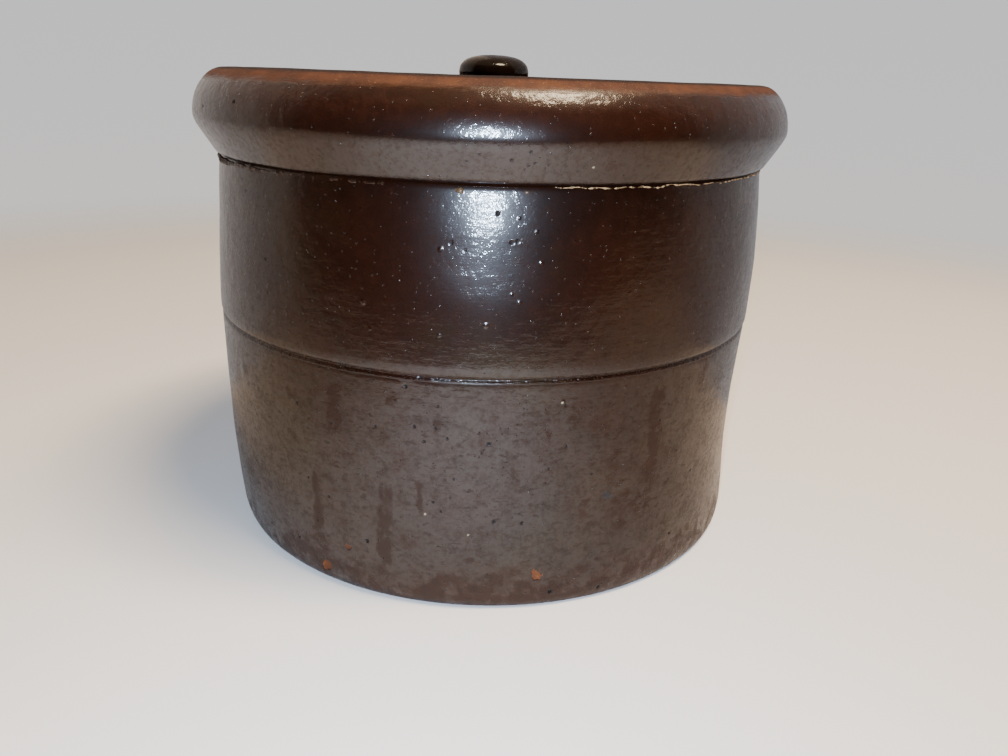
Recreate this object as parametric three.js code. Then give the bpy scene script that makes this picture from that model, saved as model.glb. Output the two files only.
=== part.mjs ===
// A lidded stoneware crock: a wheel-thrown pot with a thick rolled rim, an inset lid that rests on a
// ledge inside the rim, and a button knob luted into the middle of the lid.
// Units are millimetres, +Z is up, and the origin is the centre of the flat base.
import * as THREE from "three";

// Pot: heights above the table, and outside radii
const POT_HEIGHT = 189.5;
const FOOT_RADIUS = 114.8;
const FOOT_ROUND = 1.6;
const LOWER_WALL_RADIUS = 116.8;
const LOWER_WALL_HEIGHT = 30.0;
const BELLY_RADIUS = 118.2;
const NECK_RADIUS = 115.0;
const NECK_DIP = 1.2;

// Incised line round the belly
const GROOVE_HEIGHT = 93.0;
const GROOVE_DEPTH = 0.6;
const GROOVE_WIDTH = 2.4;

// Rolled rim
const RIM_RADIUS = 123.8;
const RIM_DEPTH = 32.4;
const RIM_BULGE_HEIGHT = 172.3;
const RIM_CREST_RADIUS = 110.0;
const RIM_SEAM = 1.4;
const RIM_INNER_ROUND = 5.0;

// Wall, floor and the ledge that carries the lid
const WALL = 9.0;
const FLOOR_THICKNESS = 10.0;
const FLOOR_CORNER = 14.0;
const LID_RECESS = 19.5;
const LEDGE_WIDTH = 9.5;
const LEDGE_THICKNESS = 8.0;
const LEDGE_ROUND = 2.0;
const UNDER_LEDGE_DROP = 11.0;

// Lid
const LID_RADIUS = 99.0;
const LID_SIDE_CLEARANCE = 2.0;
const LID_THICKNESS = 7.0;
const LID_EDGE_BEAD = 1.4;
const LID_EDGE_BEAD_WIDTH = 9.0;
const LID_EDGE_ROUND = 2.6;
const LID_UNDERSIDE_HOLLOW = 1.8;
const LID_HOLLOW_MARGIN = 12.0;
const LID_RING_HEIGHT = 0.6;
const LID_RING_WIDTH = 8.0;
const LID_RING_RADII = [36.0, 54.0, 72.0];
const LID_BOSS_RADIUS = 19.0;
const LID_BOSS_HEIGHT = 1.6;

// Knob
const KNOB_RADIUS = 14.9;
const KNOB_DOME = 7.6;
const KNOB_UNDERCUT = 5.0;
const KNOB_NECK_RADIUS = 8.4;
const KNOB_NECK_HEIGHT = 6.2;
const KNOB_FLARE = 3.0;
const KNOB_TENON_RADIUS = 5.0;
const KNOB_TENON_LENGTH = 3.0;

// Gap left where one piece rests in or on another
const SEAT_GAP = 0.3;

// Steps round each piece
const POT_STEPS = 72;
const LID_STEPS = 60;
const KNOB_STEPS = 36;

// Heights and radii that follow from the sizes above
const RIM_FOOT = POT_HEIGHT - RIM_DEPTH;
const LEDGE_HEIGHT = POT_HEIGHT - LID_RECESS;
const GALLERY_RADIUS = LID_RADIUS + LID_SIDE_CLEARANCE;
const THROAT_RADIUS = GALLERY_RADIUS - LEDGE_WIDTH;
const LID_BASE = LEDGE_HEIGHT + SEAT_GAP;
const LID_TOP = LID_BASE + LID_THICKNESS;
const SOCKET_RADIUS = KNOB_TENON_RADIUS + SEAT_GAP;
const SOCKET_DEPTH = KNOB_TENON_LENGTH + SEAT_GAP;
const BOSS_TOP = LID_TOP + LID_BOSS_HEIGHT;
const KNOB_BASE = BOSS_TOP + SEAT_GAP;

// A profile is a list of Vector2, x the radius and y the height.
const at = (radius, height) => new THREE.Vector2(radius, height);

// Points after the first of a curve, so that stretches can follow each other in one profile.
const along = (curve, steps) => curve.getPoints(steps).slice(1);

// A quarter turn from one point to the next, leaving the first towards the corner.
const bend = (from, corner, to, steps) => along(new THREE.QuadraticBezierCurve(from, corner, to), steps);

// A smooth stretch through the given points.
const flow = (points, steps) => along(new THREE.SplineCurve(points), steps);

// The incised line: a shallow round-bottomed cut into a wall of the given radius.
function groove(radius) {
  const low = at(radius, GROOVE_HEIGHT - GROOVE_WIDTH / 2);
  const high = at(radius, GROOVE_HEIGHT + GROOVE_WIDTH / 2);
  const deep = at(radius - 2 * GROOVE_DEPTH, GROOVE_HEIGHT);
  return [low, ...bend(low, deep, high, 4)];
}

// The outside of the pot, from the middle of the base up to the seam under the rim.
function outerWall() {
  const sole = at(FOOT_RADIUS - FOOT_ROUND, 0);
  const heel = at(LOWER_WALL_RADIUS - 0.4 * (LOWER_WALL_RADIUS - FOOT_RADIUS), 2 * FOOT_ROUND);
  const lower = at(LOWER_WALL_RADIUS, LOWER_WALL_HEIGHT);
  const grooveLow = at(BELLY_RADIUS, GROOVE_HEIGHT - GROOVE_WIDTH / 2);
  const grooveHigh = at(BELLY_RADIUS, GROOVE_HEIGHT + GROOVE_WIDTH / 2);
  const shoulderHeight = (GROOVE_HEIGHT + RIM_FOOT) / 2;
  const shoulder = at((BELLY_RADIUS + NECK_RADIUS) / 2 + NECK_DIP, shoulderHeight);
  const neck = at(NECK_RADIUS, RIM_FOOT);
  return [
    at(0, 0),
    sole,
    ...bend(sole, at(FOOT_RADIUS, 0), heel, 4),
    ...flow([heel, lower, grooveLow], 8),
    ...groove(BELLY_RADIUS).slice(1),
    ...flow([grooveHigh, shoulder, neck], 9),
  ];
}

// The rolled rim, from the seam over the crest and down to the ledge that carries the lid.
function rolledRim() {
  const seam = at(NECK_RADIUS - RIM_SEAM, RIM_FOOT + RIM_SEAM);
  const lip = at(NECK_RADIUS + RIM_SEAM, RIM_FOOT + RIM_SEAM / 2);
  const bulge = at(RIM_RADIUS, RIM_BULGE_HEIGHT);
  const crest = at(RIM_CREST_RADIUS, POT_HEIGHT);
  const inner = at(GALLERY_RADIUS, POT_HEIGHT - RIM_INNER_ROUND);
  const under = new THREE.CubicBezierCurve(
    lip,
    at(lip.x + 0.38 * (RIM_RADIUS - lip.x), lip.y + 0.32 * (bulge.y - lip.y)),
    at(RIM_RADIUS, bulge.y - 0.36 * (bulge.y - lip.y)),
    bulge,
  );
  const over = new THREE.CubicBezierCurve(
    bulge,
    at(RIM_RADIUS, bulge.y + 0.6 * (crest.y - bulge.y)),
    at(crest.x + 0.55 * (RIM_RADIUS - crest.x), crest.y),
    crest,
  );
  return [
    seam,
    lip,
    ...along(under, 5),
    ...along(over, 8),
    ...bend(crest, at(GALLERY_RADIUS, POT_HEIGHT), inner, 5),
  ];
}

// The inside: gallery wall, ledge, throat, then the wall and floor of the pot.
function inside() {
  const ledgeOut = at(GALLERY_RADIUS, LEDGE_HEIGHT);
  const ledgeIn = at(THROAT_RADIUS + LEDGE_ROUND, LEDGE_HEIGHT);
  const throat = at(THROAT_RADIUS, LEDGE_HEIGHT - LEDGE_ROUND);
  const throatLow = at(THROAT_RADIUS, LEDGE_HEIGHT - LEDGE_THICKNESS);
  const upperWall = at(NECK_RADIUS - WALL, LEDGE_HEIGHT - LEDGE_THICKNESS - UNDER_LEDGE_DROP);
  const belly = at(BELLY_RADIUS - WALL, GROOVE_HEIGHT);
  const cornerTop = at(LOWER_WALL_RADIUS - WALL, FLOOR_THICKNESS + FLOOR_CORNER);
  const cornerIn = at(LOWER_WALL_RADIUS - WALL - FLOOR_CORNER, FLOOR_THICKNESS);
  return [
    ledgeOut,
    ledgeIn,
    ...bend(ledgeIn, at(THROAT_RADIUS, LEDGE_HEIGHT), throat, 2),
    throatLow,
    ...bend(throatLow, at(THROAT_RADIUS, upperWall.y + UNDER_LEDGE_DROP / 2), upperWall, 4),
    ...flow([upperWall, belly, cornerTop], 8),
    ...bend(cornerTop, at(cornerTop.x, FLOOR_THICKNESS), cornerIn, 5),
    at(0, FLOOR_THICKNESS),
  ];
}

function potProfile() {
  return [...outerWall(), ...rolledRim(), ...inside()];
}

// One low throwing ring on top of the lid, walked from the outside in.
function throwingRing(radius) {
  const half = LID_RING_WIDTH / 2;
  const outside = at(radius + half, LID_TOP);
  const inside = at(radius - half, LID_TOP);
  return [outside, ...bend(outside, at(radius, LID_TOP + 2 * LID_RING_HEIGHT), inside, 3)];
}

// The lid: a disc with a turned hollow below, a raised edge, throwing rings and a boss with a socket.
function lidProfile() {
  const hollowRadius = LID_RADIUS - LID_HOLLOW_MARGIN;
  const bottomEdge = at(LID_RADIUS - LID_EDGE_ROUND / 2, LID_BASE);
  const side = at(LID_RADIUS, LID_BASE + LID_EDGE_ROUND / 2);
  const sideTop = at(LID_RADIUS, LID_TOP + LID_EDGE_BEAD - LID_EDGE_ROUND);
  const bead = at(LID_RADIUS - LID_EDGE_ROUND, LID_TOP + LID_EDGE_BEAD);
  const beadIn = at(LID_RADIUS - LID_EDGE_BEAD_WIDTH, LID_TOP);
  const bossFoot = at(LID_BOSS_RADIUS, LID_TOP);
  const bossTop = at(KNOB_NECK_RADIUS + KNOB_FLARE, BOSS_TOP);
  const rings = [...LID_RING_RADII].sort((a, b) => b - a);
  return [
    at(0, LID_BASE + LID_UNDERSIDE_HOLLOW),
    at(hollowRadius - 2 * LID_UNDERSIDE_HOLLOW, LID_BASE + LID_UNDERSIDE_HOLLOW),
    at(hollowRadius, LID_BASE),
    bottomEdge,
    side,
    sideTop,
    ...bend(sideTop, at(LID_RADIUS, LID_TOP + LID_EDGE_BEAD), bead, 3),
    ...bend(bead, at(LID_RADIUS - 0.7 * LID_EDGE_BEAD_WIDTH, LID_TOP + LID_EDGE_BEAD / 4), beadIn, 3),
    ...rings.flatMap(throwingRing),
    bossFoot,
    ...bend(bossFoot, at((bossFoot.x + bossTop.x) / 2, BOSS_TOP), bossTop, 3),
    at(SOCKET_RADIUS, BOSS_TOP),
    at(SOCKET_RADIUS, BOSS_TOP - SOCKET_DEPTH),
    at(0, BOSS_TOP - SOCKET_DEPTH),
  ];
}

// The knob: tenon, flared foot, neck and a flattened button with a rounded underside.
function knobProfile() {
  const flareOut = at(KNOB_NECK_RADIUS + KNOB_FLARE, KNOB_BASE);
  const neckLow = at(KNOB_NECK_RADIUS, KNOB_BASE + KNOB_FLARE);
  const neckHigh = at(KNOB_NECK_RADIUS, KNOB_BASE + KNOB_NECK_HEIGHT);
  const equator = at(KNOB_RADIUS, KNOB_BASE + KNOB_NECK_HEIGHT + KNOB_UNDERCUT);
  const top = at(0, equator.y + KNOB_DOME);
  const under = new THREE.CubicBezierCurve(
    neckHigh,
    at(neckHigh.x + 0.5 * (equator.x - neckHigh.x), neckHigh.y + 0.05 * KNOB_UNDERCUT),
    at(equator.x, equator.y - 0.75 * KNOB_UNDERCUT),
    equator,
  );
  const dome = new THREE.CubicBezierCurve(
    equator,
    at(equator.x, equator.y + 0.72 * KNOB_DOME),
    at(0.58 * equator.x, top.y),
    top,
  );
  return [
    at(0, KNOB_BASE - KNOB_TENON_LENGTH),
    at(KNOB_TENON_RADIUS, KNOB_BASE - KNOB_TENON_LENGTH),
    at(KNOB_TENON_RADIUS, KNOB_BASE),
    flareOut,
    ...bend(flareOut, at(KNOB_NECK_RADIUS, KNOB_BASE), neckLow, 3),
    neckHigh,
    ...along(under, 5),
    ...along(dome, 8),
  ];
}

// A turned piece: the profile swept round the Z axis.
function turned(name, profile, steps, material) {
  const geometry = new THREE.LatheGeometry(profile, steps);
  geometry.rotateX(Math.PI / 2);
  const mesh = new THREE.Mesh(geometry, material);
  mesh.name = name;
  return mesh;
}

const brownGlaze = new THREE.MeshStandardMaterial({ color: 0x3b2016, roughness: 0.28, metalness: 0 });
const lidGlaze = new THREE.MeshStandardMaterial({ color: 0x2a1811, roughness: 0.25, metalness: 0 });
const blackGlaze = new THREE.MeshStandardMaterial({ color: 0x120c09, roughness: 0.12, metalness: 0 });

const crock = new THREE.Group();
crock.add(turned("crock_pot", potProfile(), POT_STEPS, brownGlaze));
crock.add(turned("lid_disc", lidProfile(), LID_STEPS, lidGlaze));
crock.add(turned("lid_knob", knobProfile(), KNOB_STEPS, blackGlaze));

export default crock;
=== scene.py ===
# %% [markdown]
# # A lidded stoneware crock
# The crock is a wheel-thrown pot with a thick rolled rim, an inset lid and a button knob, all under a
# brown slip glaze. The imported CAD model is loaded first, because it fixes every size, place and motion.
# The looks are then built round it: each visible piece is a fine mesh that stands where its CAD node
# stands and rides on the same body.

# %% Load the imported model
import math
import random

import bmesh
import bpy
from mathutils import Matrix, Vector, kdtree, noise
from mathutils.bvhtree import BVHTree
from mathutils.geometry import interpolate_bezier


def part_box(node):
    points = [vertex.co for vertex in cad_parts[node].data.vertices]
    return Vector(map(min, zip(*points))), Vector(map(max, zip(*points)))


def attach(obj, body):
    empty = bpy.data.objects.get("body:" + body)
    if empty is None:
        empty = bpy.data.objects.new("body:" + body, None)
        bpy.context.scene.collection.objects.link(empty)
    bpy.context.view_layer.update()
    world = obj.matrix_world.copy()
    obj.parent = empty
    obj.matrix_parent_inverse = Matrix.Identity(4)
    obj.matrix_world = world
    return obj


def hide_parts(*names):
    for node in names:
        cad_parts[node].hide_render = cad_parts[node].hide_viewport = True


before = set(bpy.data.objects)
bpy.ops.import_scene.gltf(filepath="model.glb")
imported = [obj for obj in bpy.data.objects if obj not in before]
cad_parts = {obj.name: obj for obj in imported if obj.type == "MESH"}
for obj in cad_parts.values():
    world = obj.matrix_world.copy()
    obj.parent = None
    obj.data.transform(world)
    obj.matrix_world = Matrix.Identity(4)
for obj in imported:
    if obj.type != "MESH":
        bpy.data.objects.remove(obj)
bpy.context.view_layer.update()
MM = 0.001

# %% [markdown]
# ## Camera
# The photograph was taken with a phone held close to the crock, level with its rim, and tipped down by
# about twenty degrees. It was also turned a little round its own axis, so the right side looks lower.
# The camera comes first, because marks on the glaze are later placed along its lines of sight.

# %% Camera
PHOTO_WIDTH = 1008
PHOTO_HEIGHT = 756
SENSOR_WIDTH = 36.0
LENS = 29.1
CAMERA_PLACE = Vector((0.0095, -0.3751, 0.1897))
CAMERA_PITCH = math.radians(20.33)
CAMERA_ROLL = math.radians(1.95)


def in_scene(name, data):
    """A new object of the scene that shows the data."""
    made = bpy.data.objects.new(name, data)
    bpy.context.collection.objects.link(made)
    return made


lens = bpy.data.cameras.new("camera")
lens.sensor_width = SENSOR_WIDTH
lens.lens = LENS
lens.clip_start = 0.01
camera = in_scene("camera", lens)
camera_matrix = (
    Matrix.Translation(CAMERA_PLACE)
    @ Matrix.Rotation(math.pi / 2 - CAMERA_PITCH, 4, "X")
    @ Matrix.Rotation(CAMERA_ROLL, 4, "Z")
)
camera.matrix_world = camera_matrix
bpy.context.scene.camera = camera


def line_of_sight(pixel):
    """The direction from the camera through a pixel of the photograph."""
    focal = LENS / SENSOR_WIDTH * PHOTO_WIDTH
    ray = Vector((pixel[0] - PHOTO_WIDTH / 2, PHOTO_HEIGHT / 2 - pixel[1], -focal))
    return (camera_matrix.to_3x3() @ ray).normalized()


print("camera to crock axis in mm:", round(CAMERA_PLACE.xy.length / MM, 1))

# %% [markdown]
# ## Drawing an outline
# A thrown pot is round, so half of its section says everything about its shape. Each outline is drawn
# with a few points, as a potter's rib would be cut. A Bezier stretch between neighbours makes it smooth,
# and a corner is simply where one stretch ends and the next begins.

# %% Outline helpers
def rib(points, step):
    """Points about step apart on a smooth line through (radius, height) points, without the last."""
    points = [Vector(point) for point in points]
    before = points[:1] + points[:-1]
    after = points[1:] + points[-1:]
    slopes = [(b - a).normalized() for a, b in zip(before, after)]
    line = []
    for i in range(len(points) - 1):
        start, end = points[i], points[i + 1]
        reach = (end - start).length / 3
        count = max(2, round(reach * 3 / step) + 1)
        leaving, arriving = start + slopes[i] * reach, end - slopes[i + 1] * reach
        line += interpolate_bezier(start, leaving, arriving, end, count)[:-1]
    return line


def section(start, *stretches):
    """An outline of stretches, each a step and points, that start where the one before them ends."""
    line = []
    for step, points in stretches:
        line += rib([start, *points], step)
        start = points[-1]
    return line + [Vector(start)]


def turned(outline, steps):
    """A closed bmesh of an outline that runs from axis to axis, turned once round Z."""
    shape = bmesh.new()
    corners = [shape.verts.new((0, -radius * MM, height * MM)) for radius, height in outline]
    for inner, outer in zip(corners, corners[1:]):
        shape.edges.new((inner, outer))
    return turned_round(shape, steps)


SAME_POINT = 0.005 * MM


def turned_round(shape, steps):
    """Spins what the bmesh holds an eighth of a turn, and doubles that three times."""
    drawn = shape.verts[:] + shape.edges[:]
    up = (0, 0, 1)
    bmesh.ops.spin(shape, geom=drawn, cent=(0, 0, 0), axis=up, angle=math.tau / 8, steps=steps // 8)
    for share in (8, 4, 2):
        copied = bmesh.ops.duplicate(shape, geom=shape.verts[:] + shape.edges[:] + shape.faces[:])["geom"]
        verts = [item for item in copied if isinstance(item, bmesh.types.BMVert)]
        turn = Matrix.Rotation(math.tau / share, 3, "Z")
        bmesh.ops.rotate(shape, verts=verts, cent=(0, 0, 0), matrix=turn)
    bmesh.ops.remove_doubles(shape, verts=shape.verts, dist=SAME_POINT)
    bmesh.ops.recalc_face_normals(shape, faces=shape.faces)
    shape.normal_update()
    return shape


def smooth(value, low, high):
    """0 below low, 1 above high, and a soft rise between them."""
    share = min(1.0, max(0.0, (value - low) / (high - low)))
    return share * share * (3 - 2 * share)


def between(value, low, risen, falling, high):
    """1 between the two middle values, and 0 outside the other two."""
    return smooth(value, low, risen) * (1 - smooth(value, falling, high))


print("points on a 100 mm line, 2 mm apart:", len(rib([(0.0, 0.0), (100.0, 0.0)], 2.0)))

# %% [markdown]
# ## The thrown pot
# The wall is nearly straight, with a slight barrel below the rim. The rim was rolled outwards and folded
# down, which leaves a thick collar and a thin dark seam where its lower lip meets the wall. Inside, a
# ledge was pressed in to carry the lid. The whole section is one closed outline, spun in fine steps so
# that small dents and chips can be modelled in the mesh itself.

# %% Pot outline
pot_low, pot_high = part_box("crock_pot")
POT_HEIGHT = pot_high[2] / MM
RIM_RADIUS = pot_high[0] / MM
WALL_RADIUS = 118.0
LEDGE_HEIGHT = 170.0
GALLERY_RADIUS = 101.0
THROAT_RADIUS = 91.5
FLOOR_HEIGHT = 10.0
POT_STEPS = 352

BASE = [(113.2, 0.0)]
FOOT = [(114.4, 0.4), (115.3, 1.5), (116.0, 3.6), (116.5, 7.0)]
LOWER_WALL = [(116.8, 20.0), (116.9, 50.0), (117.5, 75.0), (117.9, 88.0), (118.0, 91.6)]
GROOVE = [(117.8, 92.2), (117.3, 93.0), (117.3, 93.4), (117.8, 93.8), (118.4, 95.2)]
UPPER_WALL = [
    (118.5, 98.0), (118.4, 107.0), (118.0, 121.0), (117.1, 134.0), (116.4, 144.5), (115.3, 155.6),
]
SEAM = [(114.8, 157.1), (113.8, 158.2), (114.2, 158.8), (115.6, 158.2), (116.6, 158.6)]
ROLL = [
    (118.7, 162.0), (121.0, 165.8), (122.8, 168.9), (123.6, 170.8), (RIM_RADIUS, 172.4), (123.5, 175.6),
    (122.3, 180.0), (120.2, 183.8), (117.2, 187.1), (113.8, 189.0), (109.6, POT_HEIGHT), (105.6, 188.9),
    (102.6, 187.0), (GALLERY_RADIUS, 183.8),
]
GALLERY = [(GALLERY_RADIUS, 171.2)]
LEDGE = [(100.6, 170.3), (99.6, LEDGE_HEIGHT), (93.8, LEDGE_HEIGHT), (92.2, 169.4)]
THROAT = [(THROAT_RADIUS, 167.8), (THROAT_RADIUS, 162.4), (93.5, 158.5), (101.5, 154.5), (105.6, 150.0)]
INNER_WALL = [(108.3, 130.0), (109.6, 95.0), (108.9, 55.0), (108.0, 26.0)]
INNER_FLOOR = [(106.8, 17.5), (102.8, 12.4), (94.0, FLOOR_HEIGHT), (60.0, 9.6), (0.0, FLOOR_HEIGHT)]

pot_outline = section(
    (0.0, 0.0), (12.0, BASE), (1.0, FOOT), (2.2, LOWER_WALL), (0.35, GROOVE), (2.2, UPPER_WALL),
    (0.5, SEAM), (1.4, ROLL), (2.5, GALLERY), (1.2, LEDGE), (2.0, THROAT), (6.0, INNER_WALL),
    (8.0, INNER_FLOOR),
)
pot = turned(pot_outline, POT_STEPS)
print("pot outline points:", len(pot_outline), "faces:", len(pot.faces))

# %% [markdown]
# ## The potter's hand
# Nothing thrown is quite true. Slow noise makes the wall swell and sink by half a millimetre, a quicker
# one gives finger marks, and a noise squeezed along Z gives the fine lines of the turning wheel. The
# outside also leans: the rim and the foot stand up to two millimetres further right than the belly, as
# the photograph's two sides show. The ledge that the lid rests on stays true. Each vertex is moved once,
# because a modifier would need a texture for every noise.

# %% Hand-thrown unevenness
SWELL = 0.55 * MM
DENT = 0.16 * MM
WHEEL_LINE = 0.03 * MM
LEAN = 1.8 * MM
LEAN_HEIGHTS = (60 * MM, 145 * MM)
LEAN_RADII = (110.5 * MM, 114 * MM)
LEAN_START = 0.6
FOOT_SHIFT = 2.0 * MM
FOOT_SHIFT_BELOW = 45 * MM
INSIDE_BELOW = 150.0
FREE_RADII = (101.5, 106.0)
FREE_HEIGHTS = (0.2, 6.0)
HELD = 0.06


def looseness(place):
    """How far a point may leave its true place: 1 on free walls, and almost 0 where something rests."""
    radius, height = place.xy.length / MM, place.z / MM
    free = HELD + (1 - HELD) * smooth(radius, *FREE_RADII)
    if height < INSIDE_BELOW:
        free = 1.0
    return free * smooth(height, *FREE_HEIGHTS)


def hand_marks(place):
    """The distance that hand and wheel moved the clay outwards at a point."""
    swell = noise.noise(place * 13)
    dent = noise.noise(place * 55 + Vector((7, 3, 1)))
    line = noise.noise(Vector((place.x * 9, place.y * 9, place.z * 330)))
    return SWELL * swell + DENT * dent + WHEEL_LINE * line


def lean(place):
    """How far the outside leans to the right at a point."""
    foot = FOOT_SHIFT * (1 - smooth(place.z, 0.0, FOOT_SHIFT_BELOW))
    upper = LEAN * (smooth(place.z, *LEAN_HEIGHTS) - LEAN_START)
    return (upper + foot) * smooth(place.xy.length, *LEAN_RADII)


for vert in pot.verts:
    vert.co += vert.normal * hand_marks(vert.co) * looseness(vert.co)
    vert.co.x += lean(vert.co)
pot.normal_update()
print("largest swell allowed in mm:", round((SWELL + DENT + WHEEL_LINE) / MM, 2))

# %% [markdown]
# ## Chips, burst bubbles and lumps
# The photograph shows chips near the foot where orange clay is bare, dark holes where bubbles burst in
# the kiln, and lumps. A random scatter would be quicker, but the eye finds each of them. So each is
# placed by its pixel in the photograph: the line of sight is followed to the wall. Only the unseen side
# gets marks of the same kinds from a seeded random generator.

# %% Where the marks are
CHIPS = [(327, 566, 2.5), (348, 547, 1.5), (536, 575, 2.3)]
HOLES = [
    (550, 592, 1.0), (598, 587, 0.9), (669, 533, 0.6), (300, 537, 0.6), (367, 541, 0.8),
    (272, 523, 0.6), (297, 402, 0.5), (257, 460, 0.5), (246, 191, 0.5), (266, 259, 0.5),
    (268, 292, 0.5), (405, 386, 0.7), (489, 444, 0.7), (494, 522, 0.7), (522, 523, 0.6),
    (690, 470, 0.5), (498, 213.6, 0.65), (234, 102, 0.7), (203, 106, 0.6), (566, 405, 0.5),
    (601, 429, 0.35), (450, 498, 0.35), (640, 503, 0.4), (535.5, 163.5, 0.45), (531.5, 152, 0.5),
    (512, 160.5, 0.6), (479.5, 154.5, 0.45), (466.5, 161.5, 0.35), (529, 166.5, 0.4), (309, 418, 0.35),
    (331, 423, 0.45), (375, 426, 0.4), (308.5, 477, 0.45), (451, 243, 0.5), (512, 243, 0.55),
    (518, 242, 0.45), (465, 250.5, 0.35), (481.5, 255, 0.35), (438, 406, 0.4), (414, 426, 0.55),
    (424, 441, 0.55), (447, 438.5, 0.5), (479.5, 433, 0.4), (454, 479, 0.45), (433, 502, 0.45),
    (567, 446, 0.45), (549, 469, 0.5), (592, 473.5, 0.4), (468, 492, 0.4), (435.5, 428, 0.5),
    (483.5, 450, 0.35), (481.5, 453.5, 0.3), (479, 457, 0.3), (440.5, 511.5, 0.5), (519.5, 514, 0.4),
    (512.5, 517.5, 0.35), (427, 504.5, 0.35), (594, 455, 0.35), (660, 420, 0.35), (676, 450, 0.35),
    (329, 496, 0.5), (318, 520, 0.4),
]
LUMPS = [
    (363, 302, 0.9), (439, 335.5, 0.6), (486, 325.5, 0.8), (541.5, 263, 0.6), (537, 231.5, 0.5),
    (625.5, 200.5, 0.45), (440.5, 249, 0.7), (630, 293, 0.45), (446.5, 481, 0.4), (574, 241, 0.4),
    (563, 402.5, 0.8), (511.5, 294.5, 0.4), (519.5, 302.5, 0.55), (519, 218, 0.45), (356, 267.5, 0.5),
    (372, 275, 0.45), (362, 287, 0.45), (369.5, 329, 0.5), (337.5, 211.5, 0.45), (360.5, 209.5, 0.45),
    (406, 202.5, 0.4), (390, 193, 0.45), (328, 361, 0.45),
]
STAINS = [(607, 495, 2.2)]
# Pale specks: partly cream grit and partly painted glints of light on the glaze.
PALE_SPECKS_AND_GLINTS = [(425, 514, 0.45), (468, 535, 0.4), (593.5, 167.5, 0.3), (562.5, 402.5, 0.45)]
BLOTCHES = [
    (547, 415, 2.4), (615, 423, 2.2), (585, 438, 1.8), (612, 450, 1.6), (532, 424, 2.0),
    (570, 421, 2.0), (418, 486, 2.0), (585, 503, 2.6), (610, 520, 3.6), (632, 505, 3.0),
    (302, 556, 2.6), (392, 400, 3.0), (424, 540, 2.6), (623, 495, 2.4), (616, 532, 3.0),
    (600, 570, 3.4), (577, 572, 2.6), (309, 465, 2.0), (330, 497, 2.4), (445, 512, 2.0),
    (500, 500, 1.8), (384, 434, 2.6), (470, 560, 2.2), (520, 470, 2.0),
]
UNSEEN_HOLES = 40
UNSEEN_BLOTCHES = 24
UNSEEN_CHIPS = 4
HIDDEN_SIDE = (math.radians(100), math.radians(260))
print("marks in the photograph:", sum(map(len, (CHIPS, HOLES, LUMPS, STAINS, PALE_SPECKS_AND_GLINTS, BLOTCHES))))

# %% Marks on the pot
random.seed(4)
pot_tree = BVHTree.FromBMesh(pot)


def seen_at(pixel):
    """The point of the pot that a pixel of the photograph shows."""
    return pot_tree.ray_cast(CAMERA_PLACE, line_of_sight(pixel))[0]


def seen_marks(marks):
    """Marks of the photograph, each a pixel and a size in mm, as points on the pot."""
    return [(seen_at((x, y)), size * MM) for x, y, size in marks]


def unseen_place(low, high):
    """A random point of the outside on the side that the photograph doesn't show, between two heights."""
    turn = random.uniform(*HIDDEN_SIDE)
    height = random.uniform(low, high) * MM
    away = Vector((math.sin(turn), -math.cos(turn), 0))
    start = away * 2 * WALL_RADIUS * MM
    start.z = height
    return pot_tree.ray_cast(start, -away)[0]


def unseen_marks(count, heights, sizes):
    """Random marks of the unseen side, between two heights and two sizes in mm."""
    return [(unseen_place(*heights), random.uniform(*sizes) * MM) for _ in range(count)]


chips = seen_marks(CHIPS) + unseen_marks(UNSEEN_CHIPS, (3, 16), (1.2, 2.6))
holes = seen_marks(HOLES) + unseen_marks(UNSEEN_HOLES, (6, 184), (0.4, 0.9))
lumps = seen_marks(LUMPS)
stains = seen_marks(STAINS)
pale_specks_and_glints = seen_marks(PALE_SPECKS_AND_GLINTS)
blotches = seen_marks(BLOTCHES) + unseen_marks(UNSEEN_BLOTCHES, (12, 150), (1.5, 4.0))
print("marks:", len(chips), "chips,", len(holes), "holes,", len(lumps), "lumps,", len(stains), "stains")

# %% [markdown]
# ## Finer faces where they are needed
# The wall's faces are about two millimetres across, which is too coarse for a burst bubble. Making the
# whole pot fine enough would take millions of faces, so only the edges under a mark are cut. The grid
# fill keeps square faces in the middle and lets triangles lead out to the coarse ones.

# %% Finer faces under the marks
MARK_CUTS = 5
CUT_REACH = 1.3
CUT_MARGIN = 0.3 * MM
pot.faces.ensure_lookup_table()
marked = set()
for centre, size in chips + holes + lumps + stains + pale_specks_and_glints:
    for found in pot_tree.find_nearest_range(centre, size * CUT_REACH + CUT_MARGIN):
        marked.update(pot.faces[found[2]].edges)
bmesh.ops.subdivide_edges(pot, edges=list(marked), cuts=MARK_CUTS, use_grid_fill=True)
pot.normal_update()
pot.verts.ensure_lookup_table()
print("faces after refining:", len(pot.faces))

# %% [markdown]
# ## Pressing and painting
# A mark could be a boolean cut, but real ones have soft, uneven edges. So each vertex near a mark moves
# along its normal by an amount that fades out from the middle, with noise to tear its edge. The same
# amount is written to a named layer of the mesh, which the material reads as an attribute.

# %% Press the marks in
PAINTED = (
    "bare", "hole", "stain", "speck_and_glint", "run", "thin_and_sheen", "grooved", "rolled", "darkened", "worn", "hazed",
)
bare, hole, stain, speck_and_glint, run, thin_and_sheen, grooved, rolled, darkened, worn, hazed = (
    pot.verts.layers.float.new(name) for name in PAINTED
)

PRESS_REACH = 1.7
COARSE_TEAR = 430
FINE_TEAR = 1370

vert_tree = kdtree.KDTree(len(pot.verts))
for vert in pot.verts:
    vert_tree.insert(vert.co, vert.index)
vert_tree.balance()


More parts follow.
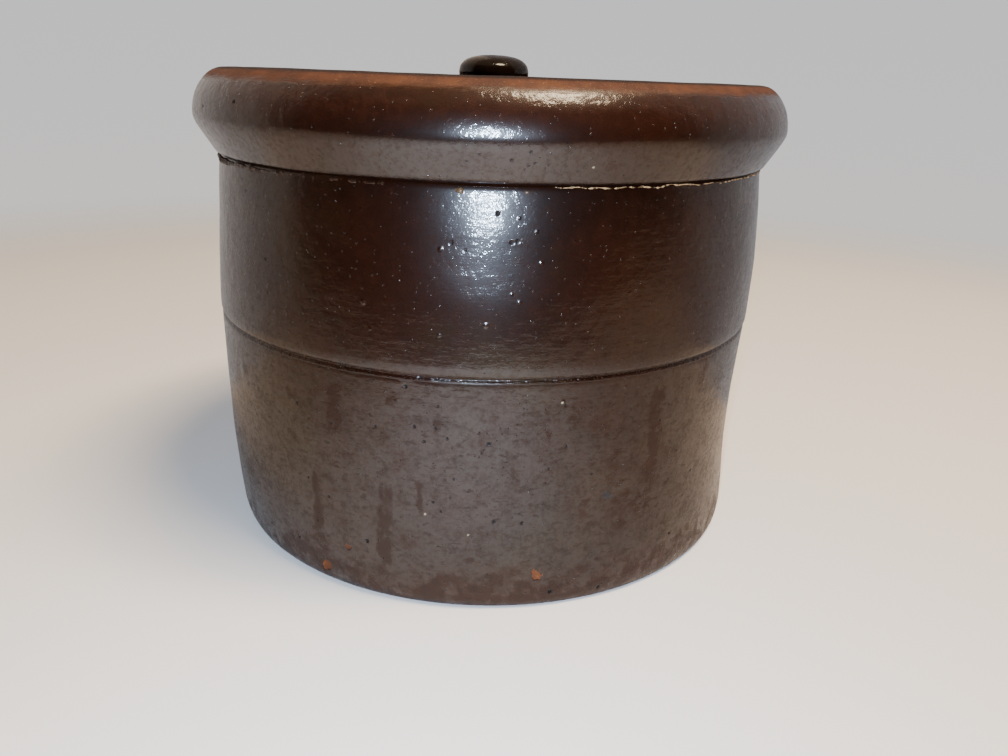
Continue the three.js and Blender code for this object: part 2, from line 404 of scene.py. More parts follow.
def press(marks, layer, depth_share, raggedness, edge=(0.7, 1.15), strength=1.0):
    """Paints each mark on a layer, and moves its vertices inwards by a share of its size."""
    for centre, size in marks:
        for place, index, distance in vert_tree.find_range(centre, size * PRESS_REACH):
            vert = pot.verts[index]
            tear = noise.noise(place * COARSE_TEAR) + 0.5 * noise.noise(place * FINE_TEAR)
            amount = strength * (1 - smooth(distance / size + raggedness * tear, *edge))
            if layer:
                vert[layer] = max(vert[layer], amount)
            vert.co -= vert.normal * amount * depth_share * size


press(chips, bare, 0.20, 0.55)
press(holes, hole, 0.45, 0.45)
press(lumps, None, -0.30, 0.10)
press(stains, stain, 0.0, 0.90)
# The pale specks are partly cream grit and partly painted glints.
press(pale_specks_and_glints, speck_and_glint, 0.0, 0.30)
print("vertices with bare clay:", sum(vert[bare] > 0.5 for vert in pot.verts))

# %% [markdown]
# ## Where the glaze is thin, bare or has run
# The shoulder of the rim is almost bare and orange-brown: glaze ran off it in the kiln. Its clay is
# painted darker, and darkest along the crest. Below it the roll's upper half is painted a lighter brown,
# partly thinner glaze and partly a painted reflection of the warm ceiling. The foot and the ledge were
# wiped clean so that nothing stuck to them. On the lower wall brown streaks and blotches show where the
# glaze ran, and the incised line kept it glossy. All of these are painted on the vertices as values from
# 0 to 1, and the material adds ragged edges.

# %% Zones of the glaze
BARE_FROM = (183.4, 189.0)
SOFT_FROM = (181.0, 184.0)
DARKEST_FROM = (188.6, 189.3)
WORN_BELOW = (70.0, 125.0)
HAZED_BEVEL = (157.0, 158.0, 170.5, 172.5)
# The roll's upper half is painted lighter brown: partly thinner glaze, partly a painted reflection of the
# warm ceiling.
THIN_AND_SHEEN_ABOVE = (170.0, 183.0)
FOOT_STAIN = (4.0, 24.0)
GROOVE_SPAN = (91.4, 92.2, 93.8, 94.4)
CREST_RADII = (104.0, 106.0)
LEDGE_SPAN = (167.5, 169.2, 171.0, 172.5)
LEDGE_RADII = (102, 104)
LIP_SPAN = (152.0, 160.0)
WIPED_FOOT = (0.3, 1.6)
FOOT_RADIUS = 116
OUTSIDE_RADIUS = 112
CHIP_DARKENING = 0.25
CHIPS_BELOW = 100


def paint_zones(vert):
    """Paints what depends only on how high and how far out a vertex lies."""
    radius, height = vert.co.xy.length / MM, vert.co.z / MM
    crest = smooth(radius, *CREST_RADII)
    outside = 1.0 if radius > OUTSIDE_RADIUS else 0.0
    foot = (1 - smooth(height, *WIPED_FOOT)) if radius < FOOT_RADIUS else 0.0
    on_ledge = between(height, *LEDGE_SPAN) * (1 - smooth(radius, *LEDGE_RADII))
    vert[bare] = max(vert[bare], smooth(height, *BARE_FROM) * crest, foot, on_ledge)
    # Chips low on the wall are painted a little darker.
    chip_darkening = CHIP_DARKENING * vert[bare] if height < CHIPS_BELOW else 0.0
    # The shoulder's clay is painted darker, and darkest along the crest.
    shoulder_darkening = 0.45 + 0.55 * smooth(height, *DARKEST_FROM)
    vert[darkened] = max(chip_darkening, shoulder_darkening * smooth(height, *SOFT_FROM) * crest)
    vert[worn] = 1 - 0.7 * smooth(height, *WORN_BELOW)
    vert[hazed] = between(height, *HAZED_BEVEL) * outside
    uneven = 11 * noise.noise(vert.co * 45) + 6 * noise.noise(vert.co * 170)
    vert[run] = 0.75 * (1 - smooth(height + uneven, *FOOT_STAIN)) * outside
    # The roll's top is painted lighter brown, partly a painted reflection of the warm ceiling; the foot's
    # brown stain joins it.
    vert[thin_and_sheen] = max(0.75 * smooth(height, *THIN_AND_SHEEN_ABOVE) * crest, vert[run])
    vert[grooved] = between(height, *GROOVE_SPAN) * outside
    vert[rolled] = smooth(height, *LIP_SPAN)


for vert in pot.verts:
    paint_zones(vert)
print("vertices on the bare shoulder and foot:", sum(vert[bare] > 0.5 for vert in pot.verts))

# %% Runs and blotches
RUNS = [
    ((383, 488), (386, 560), 3.7, 0.85), ((384, 462), (387, 592), 3.4, 0.5),
    ((318, 478), (321, 540), 3.3, 0.75), ((335, 381), (333, 429), 4.0, 0.8),
    ((660, 386), (651, 474), 4.0, 0.8), ((653, 440), (647, 505), 4.2, 0.5),
    ((618, 407), (612, 539), 4.6, 0.45), ((640, 470), (616, 540), 5.6, 0.5),
    ((639, 384), (637, 402), 2.2, 0.6), ((511, 404), (512, 508), 3.4, 0.45),
    ((549, 408), (547, 480), 3.0, 0.42), ((290, 380), (292, 470), 4.5, 0.45),
    ((420.5, 482), (420.5, 508), 1.4, 0.8), ((384, 426), (384, 444), 3.4, 0.5),
    ((440, 400), (441, 470), 3.4, 0.38), ((300, 380), (299, 440), 4.0, 0.4),
    ((580, 400), (578, 470), 3.4, 0.42), ((347, 440), (348, 560), 4.0, 0.38),
]
RUN_WAVER = 0.012
BLOTCH_EDGE = (-0.1, 1.6)
BLOTCH_STRENGTH = 0.62


def turn_of(place):
    """The angle of a point round the axis, 0 at the front and growing towards +X."""
    return math.atan2(place.x, -place.y)


def paint_run(top, bottom, width, strength):
    """Paints one streak down the wall between two pixels of the photograph."""
    start, end = seen_at(top), seen_at(bottom)
    middle = (turn_of(start) + turn_of(end)) / 2
    for vert in pot.verts:
        height = vert.co.z
        near = end.z - 10 * MM < height < start.z + 10 * MM
        if vert.co.xy.length < OUTSIDE_RADIUS * MM or not near:
            continue
        share = (start.z - height) / (start.z - end.z)
        waver = RUN_WAVER * noise.noise(Vector((middle * 5, height * 60, 0)))
        centre = turn_of(start) * (1 - share) + turn_of(end) * share + waver
        across = abs(turn_of(vert.co) - centre) * WALL_RADIUS
        ends = between(height, end.z - 8 * MM, end.z + 4 * MM, start.z - 2 * MM, start.z + 6 * MM)
        vert[run] = max(vert[run], strength * ends * (1 - smooth(across, width * 0.4, width * 1.4)))


for streak in RUNS:
    paint_run(*streak)
press(blotches, run, 0.0, 0.35, BLOTCH_EDGE, BLOTCH_STRENGTH)
print("painted", len(RUNS), "runs and", len(blotches), "blotches")

# %% [markdown]
# ## Node helpers
# Materials are built from small functions: one adds a node and joins its inputs, and the others name the
# jobs that come back again and again. Colours are written as a colour picker shows them, from 0 to 255,
# and turned into the linear values that the shader wants.

# %% Node helpers
def paint(red, green, blue):
    """A picked colour as the shader's linear red, green, blue and alpha."""
    def linear(value):
        value /= 255
        return value / 12.92 if value <= 0.04045 else ((value + 0.055) / 1.055) ** 2.4
    return (linear(red), linear(green), linear(blue), 1.0)


def join(tree, node, inputs):
    """Links each input that is given as a socket, and sets anything else as its value."""
    for name, value in inputs.items():
        if isinstance(value, bpy.types.NodeSocket):
            tree.links.new(value, node.inputs[name])
        else:
            node.inputs[name].default_value = value


def add(tree, kind, inputs=None, **settings):
    """Adds a node with its settings, and joins its inputs."""
    made = tree.nodes.new("ShaderNode" + kind)
    for name, value in settings.items():
        setattr(made, name, value)
    join(tree, made, inputs or {})
    return made


def calculate(tree, operation, *values):
    """The result of a Math node."""
    return add(tree, "Math", dict(enumerate(values)), operation=operation).outputs[0]


def times(tree, first, second):
    return calculate(tree, "MULTIPLY", first, second)


def times_plus(tree, first, second, base):
    return calculate(tree, "MULTIPLY_ADD", first, second, base)


def larger(tree, first, second):
    return calculate(tree, "MAXIMUM", first, second)


def from_vectors(tree, operation, *vectors):
    """The outputs of a Vector Math node."""
    return add(tree, "VectorMath", dict(enumerate(vectors)), operation=operation).outputs


def blend(tree, amount, first, second, kind="MIX"):
    """Mixes two colours: the first at amount 0, the second at amount 1."""
    inputs = {0: amount, 6: first, 7: second}
    return add(tree, "Mix", inputs, data_type="RGBA", blend_type=kind).outputs[2]


def rise(tree, value, low, high, start=0.0, end=1.0):
    """Runs softly from start to end while value goes from low to high."""
    inputs = {"Value": value, "From Min": low, "From Max": high, "To Min": start, "To Max": end}
    return add(tree, "MapRange", inputs, interpolation_type="SMOOTHSTEP").outputs["Result"]


def lessened(tree, value, mask, least):
    """The value where the mask is 0, falling to a share of it where the mask is 1."""
    return times(tree, value, rise(tree, mask, 0.0, 1.0, 1.0, least))


print("an orange clay in linear values:", [round(value, 3) for value in paint(110, 62, 31)])

# %% Pattern helpers
def cloud(tree, vector, scale, detail=2.0, roughness=0.5):
    """A cloudy noise between 0 and 1."""
    inputs = {"Vector": vector, "Scale": scale, "Detail": detail, "Roughness": roughness}
    return add(tree, "TexNoise", inputs).outputs["Fac"]


def squeezed(tree, vector, across, along):
    """The vector with its own scale across the axis and along it, for streaks and wheel lines."""
    return from_vectors(tree, "MULTIPLY", vector, (across, across, along))[0]


def round_wheel(tree, vector):
    """Coordinates that run round the wall and, along Z, up it, over the rim and down inside."""
    flat = from_vectors(tree, "MULTIPLY", vector, (1, 1, 0))[0]
    radius = from_vectors(tree, "LENGTH", flat)["Value"]
    around = from_vectors(tree, "NORMALIZE", flat)[0]
    height = add(tree, "SeparateXYZ", {"Vector": vector}).outputs[2]
    along = add(tree, "CombineXYZ", {"Z": calculate(tree, "SUBTRACT", height, radius)}).outputs[0]
    wall = (WALL_RADIUS * MM, WALL_RADIUS * MM, 0)
    return from_vectors(tree, "MULTIPLY_ADD", around, wall, along)[0]


def new_group(name, inputs, outputs):
    """An empty node group with sockets named by kind, what it is given, and the node that ends it."""
    group = bpy.data.node_groups.new(name, "ShaderNodeTree")
    for side, kinds in (("INPUT", inputs), ("OUTPUT", outputs)):
        for kind, sockets in kinds.items():
            for socket in sockets:
                group.interface.new_socket(socket, in_out=side, socket_type="NodeSocket" + kind)
    return group, group.nodes.new("NodeGroupInput").outputs, group.nodes.new("NodeGroupOutput")


def use(tree, name, inputs):
    """Adds a node that uses the group of that name, and returns what it puts out."""
    return add(tree, "Group", inputs, node_tree=bpy.data.node_groups[name]).outputs


def painted(tree, name):
    """The value that was painted on the vertices in the layer of that name."""
    return add(tree, "Attribute", attribute_name=name).outputs["Fac"]


def new_material(name):
    """A material with its node tree and its Principled shader."""
    material = bpy.data.materials.new(name)
    material.use_nodes = True
    return material, material.node_tree, material.node_tree.nodes["Principled BSDF"]


print("wheel coordinates run round a radius in mm of", WALL_RADIUS)

# %% [markdown]
# ## The skin of the glaze
# Slip glaze over coarse clay has an orange-peel skin: broad dents from the fingers, soft pebbles a
# little over a millimetre across, finer grit, faint lines that run round the wheel, and sand grains that
# catch a glint each. Every kind is a noise with its own height in millimetres, so that a Bump node with
# a distance of one millimetre turns it into real slopes. The group also puts out where the grains are.

# %% Skin group
GRIT_SCALE = 2.6
GRIT_SHARE = 0.70
DENT_SCALE = 0.26
SAND_SCALE = 440.0

tree, given, end = new_group(
    "glaze_skin",
    {"Vector": ["Vector"], "Float": ["Pebble size", "Pebble height", "Brushed lines", "Dents", "Sand"]},
    {"Float": ["Height", "Sand"]},
)
place = given["Vector"]
wheel = round_wheel(tree, place)
pebble_scale = calculate(tree, "DIVIDE", 1 / MM, given["Pebble size"])
pebbles = cloud(tree, place, pebble_scale, 1.5)
grit = cloud(tree, place, times(tree, pebble_scale, GRIT_SCALE), 1.0)
dents = cloud(tree, place, times(tree, pebble_scale, DENT_SCALE), 2.6)
lines = cloud(tree, squeezed(tree, wheel, 55.0, 430.0), 1.0, 2.5, 0.6)
grains = add(tree, "TexVoronoi", {"Vector": place, "Scale": SAND_SCALE}).outputs
chosen = rise(tree, add(tree, "SeparateColor", {"Color": grains["Color"]}).outputs[1], 0.38, 0.44)
sand = times(tree, rise(tree, grains["Distance"], 0.04, 0.18, 1.0, 0.0), chosen)
height = times(tree, pebbles, given["Pebble height"])
grit_height = times(tree, given["Pebble height"], GRIT_SHARE)
height = times_plus(tree, grit, grit_height, height)
height = times_plus(tree, dents, given["Dents"], height)
height = times_plus(tree, lines, given["Brushed lines"], height)
height = times_plus(tree, sand, given["Sand"], height)
join(tree, end, {"Height": height, "Sand": sand})
print("skin group nodes:", len(tree.nodes))

# %% [markdown]
# ## The colour of the glaze
# Iron slip fires dark where it lies thick, red-brown where it is thin, and olive in drifts. Large clouds,
# small spots and streaks that follow the wall mix these browns. The same noises say how dull the glaze
# is, because thin and worn glaze is duller. The lower wall is worn most, and its runs are torn at their
# edges by a fine noise that is added to the painted value before a threshold cuts it.

# %% Glaze colour group
RUN_TEAR = 2.2
PINHOLE_SCALE = 330.0
PINHOLE_CHANCE = (0.80, 0.84)

tree, given, end = new_group(
    "slip_glaze",
    {
        "Vector": ["Vector"], "Color": ["Body", "Thick", "Thin", "Olive"],
        "Float": ["Run", "Thin and sheen", "Wear"],
    },
    {"Color": ["Color"], "Float": ["Dullness", "Pinholes"]},
)
place = given["Vector"]
wheel = round_wheel(tree, place)
patches = rise(tree, cloud(tree, place, 24.0, 6.0, 0.6), 0.36, 0.70)
spots = rise(tree, cloud(tree, place, 260.0, 5.0, 0.7), 0.40, 0.70)
stains = rise(tree, cloud(tree, place, 45.0, 8.0, 0.66), 0.50, 0.74)
streaks = rise(tree, cloud(tree, squeezed(tree, wheel, 240.0, 16.0), 1.0, 4.0, 0.6), 0.44, 0.80)
flecks = rise(tree, cloud(tree, squeezed(tree, wheel, 260.0, 620.0), 1.0, 4.0, 0.6), 0.52, 0.66)
tear = calculate(tree, "SUBTRACT", cloud(tree, place, 190.0, 6.0, 0.68), 0.5)
torn = times_plus(tree, tear, RUN_TEAR, given["Run"])
touched = rise(tree, given["Run"], 0.02, 0.30)
ragged_run = times(tree, rise(tree, torn, 0.12, 0.95), touched)
# The lighter brown of the roll's top, partly a painted reflection of the warm ceiling.
ragged_thin_and_sheen = times(tree, given["Thin and sheen"], rise(tree, spots, 0.0, 0.6, 0.55, 1.0))
stained = times(tree, stains, given["Wear"])
dullness = larger(tree, times(tree, streaks, 0.4), stained)
dullness = larger(tree, dullness, times(tree, spots, 0.45))
thinness = larger(tree, times(tree, dullness, 0.6), ragged_thin_and_sheen)
thinness = larger(tree, thinness, times(tree, ragged_run, 0.35))
olive = rise(tree, cloud(tree, place, 17.0, 4.0, 0.55), 0.50, 0.72, 0.0, 0.75)
grain = rise(tree, cloud(tree, place, 520.0, 5.0, 0.75), 0.36, 0.66)
mottle = rise(tree, cloud(tree, squeezed(tree, wheel, 110.0, 160.0), 1.0, 6.0, 0.70), 0.36, 0.72)
colour = blend(tree, times(tree, patches, 0.7), given["Body"], given["Thick"])
colour = blend(tree, olive, colour, given["Olive"])
colour = blend(tree, thinness, colour, given["Thin"])
cells = add(tree, "TexVoronoi", {"Vector": place, "Scale": PINHOLE_SCALE})
near = rise(tree, cells.outputs["Distance"], 0.05, 0.13, 1.0, 0.0)
drawn = add(tree, "SeparateColor", {"Color": cells.outputs["Color"]}).outputs[0]
rare = rise(tree, drawn, *PINHOLE_CHANCE)
pinholes = times(tree, near, rare)
colour = blend(tree, times(tree, pinholes, 0.8), colour, given["Thick"])
dullness = larger(tree, larger(tree, dullness, ragged_run), pinholes)
mottled = times(tree, mottle, 0.40)
flecked = times(tree, flecks, 0.45)
scuffs = times(tree, larger(tree, mottled, flecked), given["Wear"])
scuffs = times_plus(tree, grain, 0.35, scuffs)
dullness = larger(tree, dullness, scuffs)
join(tree, end, {"Color": colour, "Dullness": dullness, "Pinholes": pinholes})
print("glaze group nodes:", len(tree.nodes))

# %% [markdown]
# ## Bare clay
# Where there is no glaze the clay is orange-brown and rough, with dark iron spots and pale grains of
# sand. Its edge against the glaze is never straight, so another small group roughens a painted mask.

# %% Clay group and ragged edge group
RAGGEDNESS = 0.7

inputs = {"Vector": ["Vector"], "Color": ["Clay", "Burnt"]}
tree, given, end = new_group("bare_clay", inputs, {"Color": ["Color"], "Float": ["Height"]})
place = given["Vector"]
tone = rise(tree, cloud(tree, place, 90.0, 6.0, 0.65), 0.36, 0.66)
grains = cloud(tree, place, 1400.0, 3.0, 0.7)
colour = blend(tree, tone, given["Clay"], given["Burnt"])
colour = blend(tree, rise(tree, grains, 0.60, 0.72, 0.0, 0.35), colour, paint(214, 178, 138))
iron = rise(tree, cloud(tree, place, 520.0, 2.0), 0.62, 0.72, 0.0, 0.6)
colour = blend(tree, iron, colour, given["Burnt"])
join(tree, end, {"Color": colour, "Height": times(tree, grains, 0.12)})
print("clay group nodes:", len(tree.nodes))

inputs = {"Vector": ["Vector"], "Float": ["Mask", "Softness"]}
tree, given, end = new_group("ragged_edge", inputs, {"Float": ["Mask"]})
place = given["Vector"]
wheel = round_wheel(tree, place)
tear = calculate(tree, "SUBTRACT", cloud(tree, squeezed(tree, wheel, 130.0, 500.0), 1.0, 4.0, 0.6), 0.5)
torn = times_plus(tree, tear, RAGGEDNESS, given["Mask"])
present = rise(tree, given["Mask"], 0.01, 0.08)
low = calculate(tree, "SUBTRACT", 0.5, given["Softness"])
high = calculate(tree, "ADD", 0.5, given["Softness"])
join(tree, end, {"Mask": times(tree, rise(tree, torn, low, high), present)})
print("edge group nodes:", len(tree.nodes))

# %% [markdown]
# ## The materials
# One function makes every glazed material of the crock. It lays the glaze over the clay by the painted
# masks. The base layer carries the bump and is glossy, so it gives the broken, sparkling glints. Slip
# glaze also has a soft grey bloom, which is the Coat: it is rougher and has no bump, and it thins out
# where the glaze is dull, which is why the runs look dark on the pale lower wall.

# %% Glazed material
CLAY = paint(110, 62, 31)
BURNT_CLAY = paint(84, 46, 25)
# The colour that darkens the clay of the shoulder, the crest and the chips.
DARKER_CLAY = paint(92, 80, 72)
OLIVE = paint(34, 22, 6)
STAIN = paint(17, 18, 22)
# A pale colour for cream grit, also used for the painted glints.
SPECK_AND_GLINT = paint(150, 136, 108)
# Near-black in the pits: painted shade over the dark glaze.
HOLE_SHADE = paint(9, 5, 4)
THINNED_PEBBLES = 0.02
THINNED_DENTS = 0.30
DULL_ROUGHNESS = 0.30
BARE_ROUGHNESS = 0.6
COAT_ROUGHNESS = 0.32
GLAZE_SPECULAR = 0.32
PINHOLE_DEPTH = -0.12
SCRATCH_DEPTH = 0.75


def glazed(name, colours, skin_values, gloss, haze):
    """A brown slip glaze over clay, which shows where the piece's bare value is painted."""
    material, tree, shader = new_material(name)
    vector = add(tree, "TexCoord").outputs["Object"]
    on = {layer: painted(tree, layer) for layer in PAINTED}
    paints = {"Run": on["run"], "Thin and sheen": on["thin_and_sheen"], "Wear": on["worn"], "Olive": OLIVE}
    glaze = use(tree, "slip_glaze", {"Vector": vector, **paints, **colours})
    clay = use(tree, "bare_clay", {"Vector": vector, "Clay": CLAY, "Burnt": BURNT_CLAY})
    changed = {"Brushed lines": lessened(tree, skin_values["Brushed lines"], on["rolled"], 0.3)}
    for value, more in (("Pebble height", THINNED_PEBBLES), ("Dents", THINNED_DENTS)):
        changed[value] = times_plus(tree, on["thin_and_sheen"], more, skin_values[value])
    skin = use(tree, "glaze_skin", {"Vector": vector, **skin_values, **changed})
    softness = times_plus(tree, on["darkened"], 0.5, 0.14)
    edge = use(tree, "ragged_edge", {"Vector": vector, "Mask": on["bare"], "Softness": softness})["Mask"]

    clay_colour = blend(tree, on["darkened"], clay["Color"], DARKER_CLAY, "MULTIPLY")
    colour = blend(tree, edge, glaze["Color"], clay_colour)
    for layer, tint in (("stain", STAIN), ("speck_and_glint", SPECK_AND_GLINT), ("hole", HOLE_SHADE)):
        colour = blend(tree, on[layer], colour, tint)

    uncovered = larger(tree, edge, on["hole"])
    dull = times_plus(tree, glaze["Dullness"], DULL_ROUGHNESS, gloss)
    dull = lessened(tree, dull, skin["Sand"], 0.25)
    dull = lessened(tree, dull, on["grooved"], 0.6)
    rough = times_plus(tree, uncovered, BARE_ROUGHNESS, dull)

    covered = calculate(tree, "SUBTRACT", 1.0, uncovered)
    coat = times(tree, covered, rise(tree, glaze["Dullness"], 0.0, 0.9, haze, 0.0))
    coat = times(tree, coat, rise(tree, on["worn"], 0.2, 1.0, 0.7, 1.0))
    extra = rise(tree, glaze["Dullness"], 0.1, 0.6, 0.40, 0.0)
    coat = times_plus(tree, on["hazed"], extra, coat)
    coat = lessened(tree, coat, on["grooved"], 0.3)

    heights = {0: edge, 2: skin["Height"], 3: clay["Height"]}
    height = add(tree, "Mix", heights, data_type="FLOAT").outputs[0]
    height = times_plus(tree, glaze["Pinholes"], PINHOLE_DEPTH, height)
    scratches = times(tree, cloud(tree, vector, 480.0, 4.0, 0.6), SCRATCH_DEPTH)
    height = times_plus(tree, on["grooved"], scratches, height)
    bump = add(tree, "Bump", {"Height": height, "Strength": 1.0, "Distance": MM}).outputs["Normal"]

    join(tree, shader, {
        "Base Color": colour, "Roughness": rough, "Normal": bump, "Coat Weight": coat,
        "Coat Roughness": COAT_ROUGHNESS, "Specular IOR Level": GLAZE_SPECULAR,
    })
    return material


print("values painted on the vertices:", len(PAINTED))

# %% The three glazes
pot_glaze = glazed(
    "pot_glaze",
    {"Body": paint(28, 8, 2), "Thick": paint(16, 5, 2), "Thin": paint(45, 21, 11)},
    {"Pebble size": 1.35, "Pebble height": 0.070, "Brushed lines": 0.125, "Dents": 0.30, "Sand": 0.24},
    0.07,
    0.66,
)
lid_glaze = glazed(
    "lid_glaze",
    {"Body": paint(30, 10, 4), "Thick": paint(18, 6, 3), "Thin": paint(48, 24, 14)},
    {"Pebble size": 1.30, "Pebble height": 0.050, "Brushed lines": 0.020, "Dents": 0.12, "Sand": 0.10},
    0.14,
    0.50,
)
knob_glaze = glazed(
    "knob_glaze",
    {"Body": paint(21, 12, 8), "Thick": paint(12, 8, 6), "Thin": paint(36, 19, 12)},
    {"Pebble size": 1.60, "Pebble height": 0.020, "Brushed lines": 0.006, "Dents": 0.05, "Sand": 0.06},
    0.09,
    0.0,
)
print("materials:", [pot_glaze.name, lid_glaze.name, knob_glaze.name])

# %% [markdown]
# ## Putting a piece in its place
# A finished piece keeps its object at the origin with its place in the mesh, like a CAD node. It rides
# on the body of the node that it stands for.

# %% Finish the pot
def new_object(name, shape, material):
    """Turns a bmesh into an object of that material."""
    mesh = bpy.data.meshes.new(name)
    shape.to_mesh(mesh)
    shape.free()
    mesh.materials.append(material)
    return in_scene(name, mesh)


def finish_piece(name, shape, material, body, slot, *nodes):
    """Makes a smooth piece that rides on a body and stands for its CAD nodes."""
    piece = new_object(name, shape, material)
    piece.data.shade_smooth()
    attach(piece, body)
    if nodes:
        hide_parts(*nodes)
    top = max(vert.co.z for vert in piece.data.vertices) / MM
    print(name, "faces:", len(piece.data.polygons), "top in mm:", round(top, 1))


finish_piece("pot", pot, pot_glaze, "pot", "pot_glaze", "crock_pot")

# %% [markdown]
# ## The crust under the rim
# Glaze crawled where the rolled rim was folded down and left a ragged bead along the seam: cream on the
# right, brown and lumpy on the left. It is a small circle spun round the seam, then swollen and shrunk
# by noise. Where it shrinks it sinks into the wall and the seam is clean.

# %% Seam crust
CRUST_RADIUS = 114.9
CRUST_HEIGHT = 157.0
CRUST_STEPS = 960
CRUST_SIDES = 8
CREAM_PART = (10.5, 104)
LUMPY_PART = (-84, -14)
SMALL_BITS = [(-3.7, 1.2), (7.0, 0.8), (140, 9), (205, 14), (236, 6)]
LUMPY_OUT = 0.25
LUMPY_DOWN = 0.9
BIT_SAG = 1.5
SUNK = 1.5
WANDER = 0.7
THINNEST = 0.12


def spun_ring(radius, height, thickness, sides, steps):
    """A bmesh ring: a small circle spun once round the axis."""
    ring = bmesh.new()
    place = Matrix.Translation((0, -radius * MM, height * MM)) @ Matrix.Rotation(math.pi / 2, 4, "Y")
    bmesh.ops.create_circle(ring, segments=sides, radius=thickness * MM, matrix=place)
    return turned_round(ring, steps)


def inside_part(degrees, part, soft):
    """1 well inside a stretch of the seam, 0 outside it."""
    first, last = part
    return between(degrees, first - soft, first + soft, last - soft, last + soft)


def bit_amount(degrees, middle, width):
    """1 at the middle of a small bit of crust, and 0 from its width onwards."""
    apart = abs((degrees - middle + 180) % 360 - 180)
    return 1 - smooth(apart, width * 0.5, width)


crust = spun_ring(CRUST_RADIUS, CRUST_HEIGHT, 1.0, CRUST_SIDES, CRUST_STEPS)
creaminess = crust.verts.layers.float.new("cream")
for vert in crust.verts:
    turn = math.degrees(turn_of(vert.co))
    cream = inside_part(turn, CREAM_PART, 3)
    lumpy = inside_part(turn, LUMPY_PART, 4) * (1 - 0.2 * smooth(turn, -50, -28))
    bits = max(bit_amount(turn, *bit) for bit in SMALL_BITS)
    around = Vector((math.sin(math.radians(turn)), math.cos(math.radians(turn)), 0))
    fine = noise.noise(around * 95)
    broad = noise.noise(around * 21 + Vector((0, 0, 5)))
    present = min(1.0, cream + lumpy + bits)
    thickness = THINNEST + cream * (0.06 + 0.40 * fine)
    thickness += lumpy * (0.40 + 1.1 * fine) + bits * (0.70 + 0.7 * fine)
    outwards = CRUST_RADIUS - SUNK * (1 - present) + LUMPY_OUT * lumpy
    centre = Vector((vert.co.x, vert.co.y, 0)).normalized() * outwards * MM
    wander = WANDER * broad * (cream + lumpy)
    centre.z = (CRUST_HEIGHT + wander - BIT_SAG * bits - LUMPY_DOWN * lumpy) * MM
    own = vert.co.xy.length - CRUST_RADIUS * MM
    above = vert.co.z - CRUST_HEIGHT * MM
    outward = centre.xy.normalized() * own * thickness
    vert.co = centre + Vector((outward.x, outward.y, above * thickness * 1.1))
    vert.co.x += lean(vert.co)
    vert[creaminess] = max(cream, 0.2 * bits)
print("crust vertices painted cream:", sum(vert[creaminess] > 0.5 for vert in crust.verts))

# %% [markdown]
# ## The colour of the crust
# Crawled glaze is matt and cream where it lifted and brown where it is only thin. One noise both breaks
# up the painted cream and roughens the surface, so that colour and relief belong together.

# %% Crust material
crust_material, tree, shader = new_material("seam_crust")
vector = add(tree, "TexCoord").outputs["Object"]
mixed = cloud(tree, vector, 420.0, 4.0, 0.6)
cream_mask = times(tree, painted(tree, "cream"), rise(tree, mixed, 0.38, 0.52))
colour = blend(tree, cream_mask, paint(38, 23, 15), paint(166, 132, 92))
dots = rise(tree, cloud(tree, vector, 900.0, 2.0), 0.58, 0.68, 0.0, 0.4)
colour = blend(tree, dots, colour, paint(82, 50, 30))
rough = rise(tree, cream_mask, 0.0, 0.5, 0.16, 0.60)
bump = add(tree, "Bump", {"Height": mixed, "Strength": 1.0, "Distance": 0.4 * MM}).outputs["Normal"]
join(tree, shader, {"Base Color": colour, "Roughness": rough, "Normal": bump})
finish_piece("seam_crust", crust, crust_material, "pot", "pot_glaze")

# %% [markdown]
# ## The lid
# The lid is a turned disc that lies well below the rim, on the ledge. Its top keeps the rings that the
# potter's fingers left, its edge has a raised bead, and its underside is bare where it was cut off the
# wheel. It rides on the body that lifts.

# %% Lid
lid_low, lid_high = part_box("lid_disc")
LID_RADIUS = lid_high[0] / MM
LID_BASE = lid_low[2] / MM
LID_TOP = LID_BASE + 7.0
BOSS_TOP = LID_TOP + 1.6
LID_STEPS = 256
FINGER_RINGS = (72.0, 54.0, 36.0)
RING_HEIGHT = 0.6
RING_HALF = 4.0
HOLLOW = LID_BASE + 1.8
REST_INNER = LID_RADIUS - 12.0
REST_OUTER = LID_RADIUS - 1.3
BOSS_RADIUS = 11.0
SOCKET_RADIUS = 5.3
SOCKET_BASE = BOSS_TOP - 3.3
LID_LOOSENESS = 0.6
LID_WEAR = 0.4

lid_top_points = []
for ring in FINGER_RINGS:
    outer, inner = ring + RING_HALF, ring - RING_HALF
    lid_top_points += [(outer, LID_TOP), (ring, LID_TOP + RING_HEIGHT), (inner, LID_TOP)]
lid_outline = section(
    (0.0, HOLLOW),
    (4.0, [(REST_INNER - 3.6, HOLLOW)]),
    (1.0, [(REST_INNER, LID_BASE)]),
    (2.0, [(REST_OUTER, LID_BASE)]),
    (0.5, [(LID_RADIUS - 0.4, LID_BASE + 0.4), (LID_RADIUS, LID_BASE + 1.3)]),
    (1.2, [(LID_RADIUS, LID_TOP - 1.2)]),
    (0.7, [
        (LID_RADIUS - 0.7, LID_TOP + 0.7), (LID_RADIUS - 2.6, LID_TOP + 1.4),
        (LID_RADIUS - 6.0, LID_TOP + 0.5), (LID_RADIUS - 9.0, LID_TOP),
    ]),
    (1.4, lid_top_points + [(19.0, LID_TOP)]),
    (0.7, [(16.2, LID_TOP + 0.9), (12.6, BOSS_TOP - 0.1), (BOSS_RADIUS, BOSS_TOP)]),
    (1.5, [(SOCKET_RADIUS, BOSS_TOP)]),
    (1.5, [(SOCKET_RADIUS, SOCKET_BASE)]),
    (SOCKET_RADIUS, [(0.0, SOCKET_BASE)]),
)
lid = turned(lid_outline, LID_STEPS)
lid_bare = lid.verts.layers.float.new("bare")
lid_worn = lid.verts.layers.float.new("worn")
